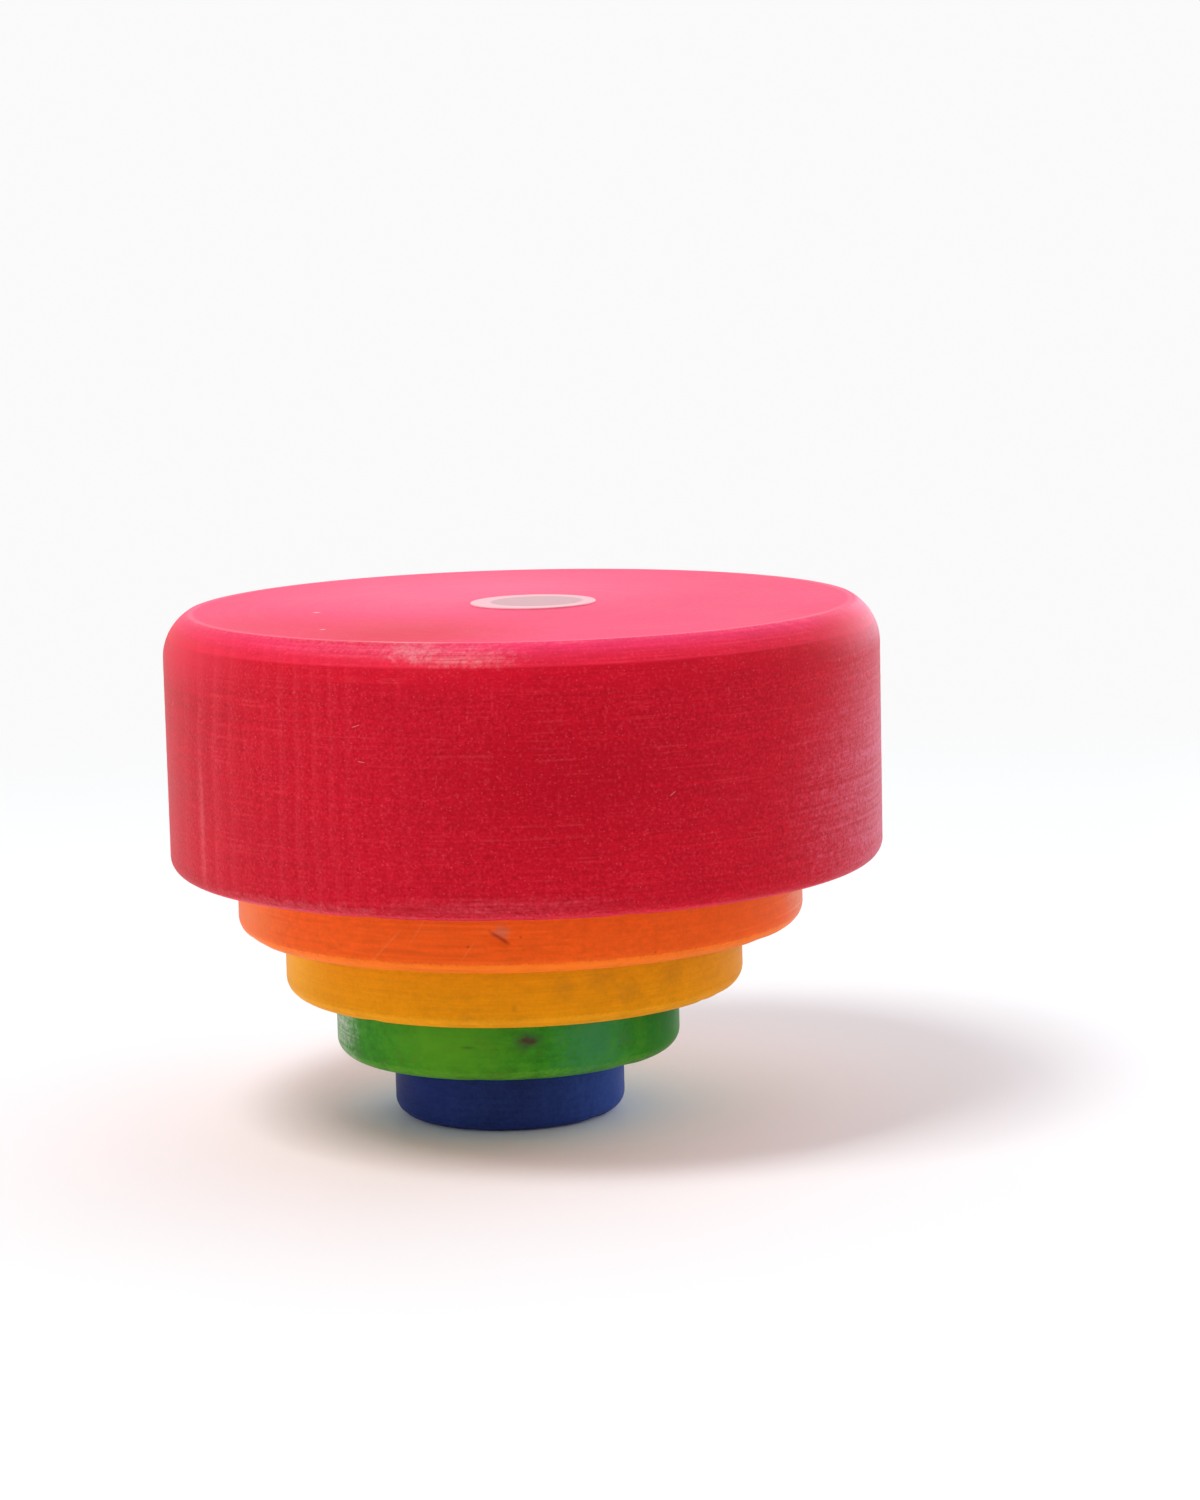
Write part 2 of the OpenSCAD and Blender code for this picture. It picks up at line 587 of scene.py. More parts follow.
def spread(tree, value, low, high, to_low=0.0, to_high=1.0, smooth=False):
    """Carries a value from one range to another and holds it there."""
    kind = "SMOOTHSTEP" if smooth else "LINEAR"
    inputs = {0: value, 1: low, 2: high, 3: to_low, 4: to_high}
    return put(tree, "ShaderNodeMapRange", inputs, interpolation_type=kind).outputs[0]


def blended(tree, share, first, second):
    """The first colour, with a share of the second."""
    return put(tree, "ShaderNodeMix", {0: share, 6: first, 7: second}, data_type="RGBA").outputs[2]


def attribute(tree, name):
    """A value kept on the mesh's points."""
    return put(tree, "ShaderNodeAttribute", {}, attribute_name=name).outputs["Fac"]


def coordinates(tree, kind):
    """Texture coordinates of one kind."""
    return put(tree, "ShaderNodeTexCoord", {}).outputs[kind]


def millimetres(tree):
    """The piece's own coordinates in millimetres."""
    return scaled(tree, coordinates(tree, "Object"), 1 / MM)


def weighed(tree, *terms):
    """One half, plus each term's distance from one half times its weight."""
    total = 0.5
    for value, weight in terms:
        apart = sums(tree, "SUBTRACT", value, 0.5)
        total = sums(tree, "MULTIPLY_ADD", apart, weight, total)
    return total


def relief_normal(tree, height, depth):
    """Normal of a fine relief, from its height and its depth in metres."""
    return put(tree, "ShaderNodeBump", {"Height": height, "Strength": 1.0, "Distance": depth}).outputs[0]


def start_group(name, inputs, outputs):
    """An empty shader node group with named sockets; returns it with its inside ends."""
    kinds = {"value": "NodeSocketFloat", "vector": "NodeSocketVector"}
    tree = bpy.data.node_groups.new(name, "ShaderNodeTree")
    for label, kind in inputs.items():
        tree.interface.new_socket(label, in_out="INPUT", socket_type=kinds[kind])
    for label in outputs:
        tree.interface.new_socket(label, in_out="OUTPUT", socket_type=kinds["value"])
    source = tree.nodes.new("NodeGroupInput").outputs
    sink = tree.nodes.new("NodeGroupOutput").inputs
    return tree, source, sink


def use_group(tree, name, **inputs):
    """Places a shader node group and gives its inputs; a low line in a name stands for a space."""
    named = {key.replace("_", " "): value for key, value in inputs.items()}
    return put(tree, "ShaderNodeGroup", named, node_tree=bpy.data.node_groups[name]).outputs


# Shared effects


def turning_lines_group():
    """Fine lines round a turned surface: noise that is quick along the section and slow round it."""
    inputs = {"Place": "vector", "Along": "value", "Pitch": "value"}
    tree, source, sink = start_group("Turning lines", inputs, ["Lines"])
    slow_round = 0.035
    x, y, _ = parts_of(tree, source["Place"])
    quick = sums(tree, "DIVIDE", source["Along"], source["Pitch"])
    slow_x = sums(tree, "MULTIPLY", x, slow_round)
    slow_y = sums(tree, "MULTIPLY", y, slow_round)
    lines = noise(tree, joined(tree, quick, slow_x, slow_y), scale=1.0, detail=3.0, roughness=0.65)
    tree.links.new(spread(tree, lines, 0.34, 0.66), sink["Lines"])


def wood_figure_group():
    """Growth rings and fibres of a block whose grain lies level.

    Place is turned so that its first axis lies along a heading from the front: one for the fibres, and one
    for the rings, since grain seldom runs straight. Rings are the distance from the pith, bent by slow noise
    and divided by the ring pitch, paler towards the end of each year's growth, some years more than others.
    """
    inputs = {
        "Place": "vector",
        "Heading": "value",
        "Ring heading": "value",
        "Ring pitch": "value",
        "Pith": "vector",
    }
    tree, source, sink = start_group("Wood figure", inputs, ["Rings", "Fibres"])
    bend_scale = (0.012, 0.05, 0.04)
    bend_depth = 3.0
    growth_power = 1.8
    growth_stop = 0.74
    weakest_year = 0.3
    fibre_scale = (0.05, 1.5, 1.5)
    ring_level = turned_to(tree, source["Place"], source["Ring heading"])
    bend = noise(tree, vectors(tree, "MULTIPLY", ring_level, bend_scale), scale=1.0)
    bend = sums(tree, "MULTIPLY_ADD", bend, bend_depth, -bend_depth / 2)
    from_pith = vectors(tree, "SUBTRACT", ring_level, source["Pith"])
    _, across, up = parts_of(tree, from_pith)
    distance = length_of(tree, joined(tree, 0.0, sums(tree, "ADD", across, bend), up))
    years = sums(tree, "DIVIDE", distance, source["Ring pitch"])
    year = sums(tree, "FRACT", years)
    growth = sums(tree, "POWER", year, growth_power)
    stop = spread(tree, year, growth_stop, 1.0, 1.0, 0.0, smooth=True)
    each = {"W": sums(tree, "FLOOR", years)}
    chance = put(tree, "ShaderNodeTexWhiteNoise", each, noise_dimensions="1D").outputs["Value"]
    strong = spread(tree, chance, 0.0, 1.0, weakest_year, 1.0)
    tree.links.new(sums(tree, "MULTIPLY", sums(tree, "MULTIPLY", growth, stop), strong), sink["Rings"])
    level = turned_to(tree, source["Place"], source["Heading"])
    stretched = vectors(tree, "MULTIPLY", level, fibre_scale)
    fibres = noise(tree, stretched, scale=1.0, detail=3.0, roughness=0.6)
    tree.links.new(spread(tree, fibres, 0.3, 0.7), sink["Fibres"])


def soft_mark_group():
    """A soft patch: 1 at its centre, falling to 0 at its reach, with a ragged edge from noise."""
    inputs = {"Place": "vector", "Centre": "vector", "Reach": "vector", "Ragged": "value"}
    tree, source, sink = start_group("Soft mark", inputs, ["Mask"])
    edge_fade = 0.25
    apart = vectors(tree, "SUBTRACT", source["Place"], source["Centre"])
    distance = length_of(tree, vectors(tree, "DIVIDE", apart, source["Reach"]))
    grain = noise(tree, source["Place"], scale=1.1, detail=3.0, roughness=0.7)
    grain = sums(tree, "SUBTRACT", grain, 0.5)
    inward = sums(tree, "SUBTRACT", 1.0, distance)
    inside = spread(tree, inward, 0.0, edge_fade)
    ragged = sums(tree, "MULTIPLY_ADD", grain, source["Ragged"], inward)
    mask = sums(tree, "MULTIPLY", spread(tree, ragged, 0.0, 1.0, smooth=True), inside)
    tree.links.new(mask, sink["Mask"])


def scattered_dots_group():
    """Small round dots, such as pores or dust: cells, of which a share hold one dot."""
    inputs = {"Place": "vector", "Spacing": "value", "Size": "value", "Share": "value"}
    tree, source, sink = start_group("Scattered dots", inputs, ["Mask"])
    cell = scaled(tree, source["Place"], sums(tree, "DIVIDE", 1.0, source["Spacing"]))
    cells = put(tree, "ShaderNodeTexVoronoi", {"Vector": cell, "Scale": 1.0}).outputs
    distance = sums(tree, "MULTIPLY", cells["Distance"], source["Spacing"])
    heart = sums(tree, "MULTIPLY", source["Size"], 0.5)
    speck = spread(tree, distance, heart, source["Size"], 1.0, 0.0)
    chance, _, _ = parts_of(tree, cells["Color"])
    kept = sums(tree, "LESS_THAN", chance, source["Share"])
    tree.links.new(sums(tree, "MULTIPLY", speck, kept), sink["Mask"])


def scratch_group():
    """A thin straight stroke: 1 on its line, 0 at its width to either side and at its reach along it."""
    inputs = {"Place": "vector", "Centre": "vector", "Across": "vector", "Reach": "value", "Width": "value"}
    tree, source, sink = start_group("Scratch", inputs, ["Mask"])
    apart = vectors(tree, "SUBTRACT", source["Place"], source["Centre"])
    half_way = sums(tree, "MULTIPLY", source["Reach"], 0.5)
    near = spread(tree, length_of(tree, apart), half_way, source["Reach"], 1.0, 0.0)
    off = put(tree, "ShaderNodeVectorMath", {0: apart, 1: source["Across"]}, operation="DOT_PRODUCT")
    off = sums(tree, "ABSOLUTE", off.outputs["Value"])
    thin = spread(tree, off, 0.0, source["Width"], 1.0, 0.0)
    tree.links.new(sums(tree, "MULTIPLY", near, thin), sink["Mask"])


def shared_groups():
    """Builds each shader node group once."""
    turning_lines_group()
    wood_figure_group()
    soft_mark_group()
    scattered_dots_group()
    scratch_group()


class WoodFinish:
    """One bowl's stained wood, built up coat by coat on a Principled shader.

    Edges are eased first, and the stain is then soaked in, before anything is marked on it.
    """

    def __init__(self, colour, bowl, section, stains, heading, ring_pitch, pith, ring_heading=None):
        """Starts the material, with the wood's figure and its unevenness as masks over the surface."""
        self.bowl = bowl
        self.section = section
        self.material, self.tree = new_material(f"{colour}_stain")
        self.stain = opaque(getattr(stains, colour))
        self.edge_stain_and_lip_light = opaque(getattr(stains, f"{colour}_edge"))
        self.bare = tuple(stains.bare_wood)
        self.colour = None
        self.place = millimetres(self.tree)
        self.along = attribute(self.tree, "along")
        self.end_grain = sums(self.tree, "POWER", attribute(self.tree, "end_grain"), END_GRAIN_POWER)
        lines = use_group(self.tree, "Turning lines", Place=self.place, Along=self.along, Pitch=LINE_PITCH)
        self.lines = lines["Lines"]
        figure = use_group(
            self.tree,
            "Wood figure",
            Place=self.place,
            Heading=heading,
            Ring_heading=heading if ring_heading is None else ring_heading,
            Ring_pitch=ring_pitch,
            Pith=pith,
        )
        self.rings = figure["Rings"]
        self.fibres = figure["Fibres"]
        # Unevenness of three sizes, with features about 18, 3 and 0.4 mm apart
        self.blotch = noise(self.tree, self.place, 0.055, detail=3.0, roughness=0.55)
        self.mottle = noise(self.tree, self.place, 0.30, detail=3.0, roughness=0.6)
        self.stipple = noise(self.tree, self.place, 2.3, roughness=0.6)
        # Length along the section, roughened so that no stain ends in a clean line
        self.uneven = sums(self.tree, "MULTIPLY_ADD", self.stipple, 0.6, self.along)
        # Where chalky wear takes hold, and where painted sheen is let through
        self.chalk_and_sheen = weighed(self.tree, (self.lines, 0.7), (self.stipple, 1.2), (self.fibres, 0.4))

    def band(self, start, end, soft=0.25):
        """Mask between two lengths along the section, in metres, with ends soft by millimetres."""
        begun = spread(self.tree, self.uneven, start / MM - soft, start / MM + soft, smooth=True)
        ended = spread(self.tree, self.uneven, end / MM - soft, end / MM + soft, 1.0, 0.0, smooth=True)
        return sums(self.tree, "MULTIPLY", begun, ended)

    def lay_stain(self, stain, start, end, soft=0.25):
        """Lays another stain on a band of the section."""
        self.stain = blended(self.tree, self.band(start, end, soft), self.stain, stain)

    def ease_edges(self, lip=1.2 * MM):
        """Lays the paler stain of the sanded edges on the upper base edge, and on the rim past its lip,
        where it also paints in the light that the rim catches from the floor.
        """
        self.lay_stain(self.edge_stain_and_lip_light, self.section.base_edge, self.section.base_edge + EDGE_BAND)
        # Partly painted light: the paler rim stands in for the light from the floor on the lip
        self.lay_stain(self.edge_stain_and_lip_light, self.section.rim + lip, self.section.hollow)

    def soak(self, deep, pale, lines, rings, fibres, blotch, mottle, stipple):
        """Lays the stain, from deep to pale: each weight says how much that figure shows in it."""
        side_grain = sums(self.tree, "SUBTRACT", 1.0, self.end_grain)
        ringed = sums(self.tree, "MULTIPLY", sums(self.tree, "SUBTRACT", self.rings, 0.3), self.end_grain)
        fibred = sums(self.tree, "MULTIPLY", sums(self.tree, "SUBTRACT", self.fibres, 0.5), side_grain)
        tone = weighed(
            self.tree,
            (self.lines, lines),
            (self.blotch, blotch),
            (self.mottle, mottle),
            (self.stipple, stipple),
        )
        tone = sums(self.tree, "MULTIPLY_ADD", ringed, rings, tone)
        tone = sums(self.tree, "MULTIPLY_ADD", fibred, fibres, tone)
        shade = spread(self.tree, tone, 0.0, 1.0, deep, pale)
        self.colour = scaled(self.tree, self.stain, shade)

    def tint(self, mask, share, colour, through=None):
        """Mixes a share of a colour over what is there, by a mask, and by a second one where it is given."""
        if through is not None:
            mask = sums(self.tree, "MULTIPLY", mask, through)
        amount = sums(self.tree, "MULTIPLY", mask, share)
        self.colour = blended(self.tree, amount, self.colour, opaque(colour))

    def mottled(self, colour, start, full, share):
        """Lets another colour show where the mottling goes from start to full."""
        self.tint(spread(self.tree, self.mottle, start, full), share, colour)

    def speckled(self, colour, start, full, share, through=None):
        """Lets another colour show where the stipple goes from start to full."""
        self.tint(spread(self.tree, self.stipple, start, full), share, colour, through)

    def rub_edge(self, middle, width, most):
        """Lets bare wood through round an edge, at a length along the section, broken up by the grain."""
        apart = sums(self.tree, "ABSOLUTE", sums(self.tree, "SUBTRACT", self.along, middle / MM))
        near = spread(self.tree, apart, 0.0, width, 1.0, 0.0, smooth=True)
        grain = sums(self.tree, "MULTIPLY", self.fibres, spread(self.tree, self.stipple, 0.35, 0.65))
        self.tint(near, most, self.bare, through=grain)

    def scuff(self, colour, share):
        """Draws fine pale scuffs along the turning lines, in some places only."""
        place_scale = 0.22
        strokes = spread(self.tree, self.lines, 0.62, 1.0)
        places = noise(self.tree, self.place, place_scale)
        places = spread(self.tree, places, 0.48, 0.66, smooth=True)
        self.tint(strokes, share, colour, through=places)

    def spot(self, turn, height, inset=0.0):
        """A place on the bowl in its own coordinates, in millimetres, from where a mark says that it is."""
        angle = math.radians(turn)
        radius = self.bowl.outer_r / MM - inset
        return (
            self.bowl.axis_x / MM + radius * math.sin(angle),
            self.bowl.axis_y / MM - radius * math.cos(angle),
            self.bowl.rim_z / MM + height,
        )

    def mark(self, mark, colour, share, ragged=0.0, through=None):
        """Colours a soft patch, seen only through another mask where one is given."""
        centre = self.spot(mark.turn, mark.height, mark.inset)
        reach = (mark.wide, mark.wide, mark.tall)
        patch = use_group(
            self.tree, "Soft mark", Place=self.place, Centre=centre, Reach=reach, Ragged=ragged
        )
        self.tint(patch["Mask"], share, colour, through)

    def dots(self, spacing, size, share, colour, strength, through=None):
        """Scatters small round dots, such as pores or dust."""
        scattered = use_group(
            self.tree, "Scattered dots", Place=self.place, Spacing=spacing, Size=size, Share=share
        )
        self.tint(scattered["Mask"], strength, colour, through)

    def scratch(self, turn, height, reach, slope, colour, share, width):
        """Draws a thin stroke on the wall that rises by the slope, in degrees, towards the right."""
        angle = math.radians(turn)
        tilt = math.radians(slope)
        across = (-math.sin(tilt) * math.cos(angle), -math.sin(tilt) * math.sin(angle), math.cos(tilt))
        stroke = use_group(
            self.tree,
            "Scratch",
            Place=self.place,
            Centre=self.spot(turn, height),
            Across=across,
            Reach=reach,
            Width=width,
        )
        self.tint(stroke["Mask"], share, colour)

    def lint(self, count, seed, colour, share):
        """Leaves short hairs of lint at random places on the wall, the same on every run."""
        draw = np.random.default_rng(seed)
        least = (-180, 5, 0.3, 0)
        most = (180, 32, 0.7, 180)
        for _ in range(count):
            turn, height, reach, slope = draw.uniform(least, most)
            self.scratch(turn, height, reach, slope, colour, share, width=0.08)

    def ring_haze(self, colour, share):
        """Lets a paler colour show along the growth rings where they meet the wall end on."""
        self.tint(self.rings, share, colour, through=self.end_grain)

    def bare_hollow(self):
        """Ends the stain raggedly just inside the rim, with plain oiled wood beyond."""
        ragged_by = 3.0
        stain_ends = self.section.hollow / MM + 1.1
        bare_from = self.section.hollow / MM + 2.0
        darkest = 0.74
        palest = 1.08
        ragged = sums(self.tree, "MULTIPLY_ADD", self.blotch, ragged_by, self.along)
        bare = spread(self.tree, ragged, stain_ends, bare_from, smooth=True)
        tone = weighed(self.tree, (self.fibres, 0.5), (self.lines, 0.25), (self.rings, 0.5))
        wood = scaled(self.tree, self.bare, spread(self.tree, tone, 0.0, 1.0, darkest, palest))
        self.colour = blended(self.tree, bare, self.colour, wood)

    def complete(self, roughness, gloss, haze, relief):
        """Bares the hollow, links colour, roughness and relief, in millimetres, and returns the material."""
        uneven = 0.12
        self.bare_hollow()
        height = weighed(self.tree, (self.lines, 0.9), (self.fibres, 0.5), (self.stipple, 0.8))
        rough = weighed(self.tree, (self.blotch, 0.5), (self.lines, 0.2))
        rough = spread(self.tree, rough, 0.0, 1.0, roughness - uneven, roughness + uneven)
        shader = self.tree.nodes["Principled BSDF"].inputs
        self.tree.links.new(self.colour, shader["Base Color"])
        self.tree.links.new(rough, shader["Roughness"])
        self.tree.links.new(relief_normal(self.tree, height, relief * MM), shader["Normal"])
        shader["Specular IOR Level"].default_value = gloss
        shader["Sheen Weight"].default_value = haze
        shader["Sheen Roughness"].default_value = 0.3
        return self.material


# Finishes, one for each bowl


def blue_wood(bowl, section, stains, heading):
    """Deep blue, nearly black away from the light, with a painted lit right side and painted shade on the
    left.
    """
    wood = WoodFinish("blue", bowl, section, stains, heading, ring_pitch=2.4, pith=(0, 40, 10))
    painted_light_side = (0.046, 0.110, 0.450)
    painted_shade_side = (0.012, 0.026, 0.170)
    wood.ease_edges()
    wood.soak(deep=0.76, pale=1.26, lines=0.3, rings=0.3, fibres=0.6, blotch=1.0, mottle=0.9, stipple=1.3)
    # Painted light: the right side paler, where the window light falls
    wood.mark(Mark(64, 12, 17, 28), painted_light_side, 0.62, ragged=0.6)
    # Painted shade: the left side darker, away from the window light
    wood.mark(Mark(-46, 10, 12, 16), painted_shade_side, 0.5, ragged=0.6)
    wood.rub_edge(section.base_edge, width=1.2, most=0.10)
    return wood.complete(roughness=0.42, gloss=0.03, haze=0.0, relief=0.012)


def green_wood(bowl, section, stains, heading):
    """Green that runs from yellowish to bluish round the bowl, with a knot, a fleck, painted sheen on the
    left side that is partly chalky wear, and painted shade on the right.
    """
    wood = WoodFinish("green", bowl, section, stains, heading, ring_pitch=2.1, pith=(0, -35, 20))
    yellowish = (0.110, 0.330, 0.020)
    brownish = (0.085, 0.150, 0.020)
    bright = (0.115, 0.360, 0.014)
    bluish = (0.050, 0.270, 0.100)
    painted_shade_side = (0.008, 0.150, 0.004)
    chalk_and_sheen = (0.50, 0.56, 0.50)
    knot = (0.055, 0.070, 0.040)
    rust = (0.085, 0.024, 0.026)
    fleck = (0.035, 0.080, 0.015)
    wood.ease_edges()
    wood.soak(deep=0.80, pale=1.22, lines=0.3, rings=0.3, fibres=0.9, blotch=1.2, mottle=1.2, stipple=1.4)
    wood.mottled(yellowish, start=0.50, full=0.70, share=0.45)
    wood.mottled(brownish, start=0.46, full=0.28, share=0.50)
    wood.mark(Mark(-20, 4.5, 15, 8), bright, 0.7, ragged=0.6)
    wood.mark(Mark(29, 5.5, 8.5, 12), bluish, 0.75, ragged=1.2)
    # Painted shade: the right side darker
    wood.mark(Mark(66, 8, 13, 18), painted_shade_side, 0.95, ragged=0.6)
    # Painted sheen on the left side, partly chalky wear, let through the chalky mask
    wood.mark(Mark(-74, 6, 8, 15), chalk_and_sheen, 1.0, ragged=1.0, through=wood.chalk_and_sheen)
    wood.mark(Mark(6.4, 5.8, 2.9, 1.9), knot, 0.85, ragged=0.9)
    wood.mark(Mark(5.2, 5.9, 1.2, 0.7), rust, 0.8, ragged=0.7)
    wood.mark(Mark(7.8, 5.6, 1.0, 0.6), rust, 0.7, ragged=0.7)
    wood.mark(Mark(-13, 5.0, 1.7, 0.35), fleck, 0.6, ragged=0.5)
    wood.rub_edge(section.base_edge, width=1.2, most=0.2)
    wood.rub_edge(section.rim + 1.6 * MM, width=1.2, most=0.08)
    return wood.complete(roughness=0.40, gloss=0.045, haze=0.01, relief=0.012)


def yellow_wood(bowl, section, stains, heading):
    """Warm yellow with faint finger smudges, a fine check and a painted lit left side."""
    wood = WoodFinish("yellow", bowl, section, stains, heading, ring_pitch=2.2, pith=(0, 30, -25))
    painted_light_side = (0.95, 0.46, 0.02)
    grime = (0.34, 0.15, 0.02)
    check = (0.30, 0.11, 0.01)
    smudges = (
        Mark(12, 5.6, 2.2, 2.6),
        Mark(21, 6.2, 3.4, 2.6),
        Mark(28, 4.2, 2.6, 2.2),
        Mark(41, 5.4, 3.0, 2.4),
    )
    wood.ease_edges()
    wood.soak(deep=0.88, pale=1.12, lines=0.45, rings=0.3, fibres=0.6, blotch=0.8, mottle=0.8, stipple=1.0)
    # Painted light: the left side paler, where the low light from the left falls
    wood.mark(Mark(-74, 8, 16, 16), painted_light_side, 0.6, ragged=0.5)
    for smudge in smudges:
        wood.mark(smudge, grime, 0.24, ragged=1.8)
    wood.mark(Mark(-0.2, 3.1, 0.6, 0.7), check, 0.35, ragged=1.8)
    wood.mark(Mark(-11.5, 1.9, 1.6, 0.9), grime, 0.22, ragged=1.4)
    wood.rub_edge(section.base_edge, width=1.2, most=0.15)
    return wood.complete(roughness=0.45, gloss=0.03, haze=0.0, relief=0.014)


def orange_wood(bowl, section, stains, heading):
    """Bright orange with a thumbnail dent, small dark dots, a painted lit left side, painted sheen on the
    right and a bright lip that is partly painted light.
    """
    wood = WoodFinish("orange", bowl, section, stains, heading, ring_pitch=2.2, pith=(0, -40, -20))
    painted_light_side = (0.98, 0.24, 0.05)
    chalk_and_sheen = (0.80, 0.40, 0.24)
    bruise = (0.56, 0.15, 0.085)
    scar = (0.36, 0.030, 0.008)
    graze = (1.0, 0.30, 0.09)
    wood.ease_edges()
    wood.soak(deep=0.88, pale=1.10, lines=0.45, rings=0.3, fibres=0.9, blotch=0.8, mottle=0.8, stipple=1.0)
    # Painted light: the left side paler, where the low light from the left falls
    wood.mark(Mark(-72, 5, 17, 9), painted_light_side, 0.6, ragged=0.6)
    # Painted sheen: a pale glow on the right side, broken up by the chalky mask
    wood.mark(Mark(77, 6, 10, 14), chalk_and_sheen, 0.75, ragged=0.7, through=wood.chalk_and_sheen)
    wood.mark(Mark(-3.7, 5.9, 1.7, 1.5), bruise, 0.75, ragged=0.5)
    wood.scratch(-4.2, 5.2, 1.9, -34, scar, 0.85, width=0.42)
    for turn, height in ((-0.1, 5.2), (-10.2, 4.0), (26.5, 1.9)):
        wood.mark(Mark(turn, height, 0.35, 0.3), scar, 0.6)
    wood.scratch(-27, 3.6, 4.2, 45, graze, 0.26, width=0.2)
    wood.scratch(-10, 3.6, 2.0, 54, graze, 0.22, width=0.2)
    wood.scratch(-20, 6.0, 2.8, 57, graze, 0.18, width=0.2)
    wood.scuff(graze, 0.14)
    wood.rub_edge(section.base_edge, width=1.2, most=0.12)
    return wood.complete(roughness=0.45, gloss=0.07, haze=0.02, relief=0.016)


def red_wood(bowl, section, stains, heading):
    """Raspberry red: ringed end grain to the left, long fibres to the right, a paler base with painted
    sheen, a painted reflection on the right side and worn edges.
    """
    wood = WoodFinish(
        "red", bowl, section, stains, heading, ring_pitch=2.29, pith=(0, 320, 54), ring_heading=0.0
    )
    crease = section.base_edge
    deep = (0.46, 0.001, 0.012)
    pore = (0.34, 0.001, 0.006)
    haze = (0.80, 0.24, 0.30)
    wear = (0.80, 0.36, 0.38)
    speck = (0.95, 0.75, 0.70)
    lint = (0.90, 0.66, 0.60)
    wood.ease_edges(lip=2.2 * MM)
    # Painted sheen: the base and the top of its edge take the paler, pinker base colour in place of the
    # reflection on the grazing base
    wood.lay_stain(opaque(stains.red_base_with_sheen), -1 * MM, crease + 1.9 * MM, soft=1.9)
    wood.soak(
        deep=0.84, pale=1.16, lines=0.45, rings=0.38, fibres=0.5, blotch=0.7, mottle=0.3, stipple=0.9
    )
    # A deeper front of the wall, two deeper patches and a paler one on the base, and a painted reflection on
    # the right side
    wood.mark(Mark(6, 18, 26, 15), deep, 0.7, ragged=0.7)
    wood.mark(Mark(-60, 36, 22, 3, 9), (0.74, 0.010, 0.055), 0.6, ragged=0.4)
    wood.mark(Mark(-26, 36, 26, 1.5, 12), (0.72, 0.006, 0.045), 1.0, ragged=0.5)
    wood.mark(Mark(-165, 36, 42, 4, 28), (0.94, 0.130, 0.270), 0.7, ragged=0.4)
    # Painted reflection: a pale violet veil on the right side, where the window light is reflected, broken
    # up by the chalky wear mask
    wood.mark(Mark(90, 11, 46, 31), (0.68, 0.20, 0.33), 0.80, ragged=0.9, through=wood.chalk_and_sheen)
    # Rings, stipple, pores and scuffs
    wall = wood.band(section.wall, section.hollow, soft=1.0)
    wood.ring_haze((0.86, 0.36, 0.42), 0.060)
    wood.speckled((0.80, 0.12, 0.16), start=0.54, full=0.72, share=0.12)
    wood.speckled(pore, start=0.47, full=0.30, share=0.45, through=wall)
    wood.dots(spacing=0.46, size=0.17, share=0.65, colour=pore, strength=0.42, through=wall)
    wood.dots(spacing=0.52, size=0.14, share=0.25, colour=(0.86, 0.18, 0.22), strength=0.16)
    wood.scuff(wear, 0.035)
    # The base edge's stain carried down to the left, and painted shade on the base edge to the right
    below_crease = wood.band(crease + 2.8 * MM, section.hollow, soft=0.8)
    wood.mark(Mark(-70, 32.4, 25, 7, 0.5), stains.red_edge, 0.75, ragged=0.4, through=below_crease)
    # Painted shade: darkens the right base edge, which the light from the right brightens
    wood.mark(Mark(66, 33.8, 17, 3.6, 1.6), (0.74, 0.004, 0.030), 0.65, ragged=0.4)
    # The worn patch on the base edge, a worn streak down the wall, and a hazy rim with a dark spot
    chalky_edge = sums(wood.tree, "MULTIPLY", wood.band(crease, crease + 2.8 * MM, soft=0.7), wood.chalk_and_sheen)
    wood.mark(Mark(-22, 35, 24, 14, 2), haze, 0.28, ragged=0.8, through=chalky_edge)
    wood.mark(Mark(-17, 35.0, 5.5, 1.6, 2.4), wear, 0.62, ragged=2.4, through=wood.stipple)
    wood.mark(Mark(-12, 34.4, 9.0, 1.6, 1.8), wear, 0.36, ragged=2.2, through=wood.lines)
    wood.mark(Mark(-6, 34.3, 7.0, 1.7, 1.5), wear, 0.36, ragged=2.0, through=wood.chalk_and_sheen)
    wood.mark(Mark(-60.5, 10, 0.9, 13), wear, 0.11, ragged=1.6)
    wood.mark(Mark(-38, 1.0, 24.0, 1.4), haze, 0.26, ragged=2.8, through=wood.stipple)
    wood.mark(Mark(-4, 1.8, 26.0, 2.2), haze, 0.15, ragged=1.6, through=wood.chalk_and_sheen)
    wood.mark(Mark(-17, 1.7, 4.0, 0.7), deep, 0.6, ragged=2.4)
    # Two specks on the base, a pale line along the crease that is painted highlight and partly rubbing, the
    # rubbed crease, dust and lint
    wood.mark(Mark(-78.8, 36, 0.8, 0.5, 21.2), speck, 0.6, ragged=0.6)
    wood.mark(Mark(-44.9, 36, 0.6, 0.5, 12.6), speck, 0.7, ragged=0.6)
    # Painted highlight: a pale pink line where the flat meets the crease, partly rubbing
    at_crease = wood.band(crease - 0.7 * MM, crease + 0.1 * MM, soft=0.3)
    wood.tint(at_crease, 0.45, (0.95, 0.17, 0.30))
    wood.mark(Mark(-19, 36, 9, 1.5, 3.4), wear, 0.40, ragged=1.2, through=at_crease)
    wood.rub_edge(crease, width=1.0, most=0.16)
    wood.dots(spacing=1.3, size=0.09, share=0.20, colour=lint, strength=0.13)
    wood.lint(count=22, seed=3, colour=lint, share=0.27)
    return wood.complete(roughness=0.46, gloss=0.07, haze=0.02, relief=0.020)


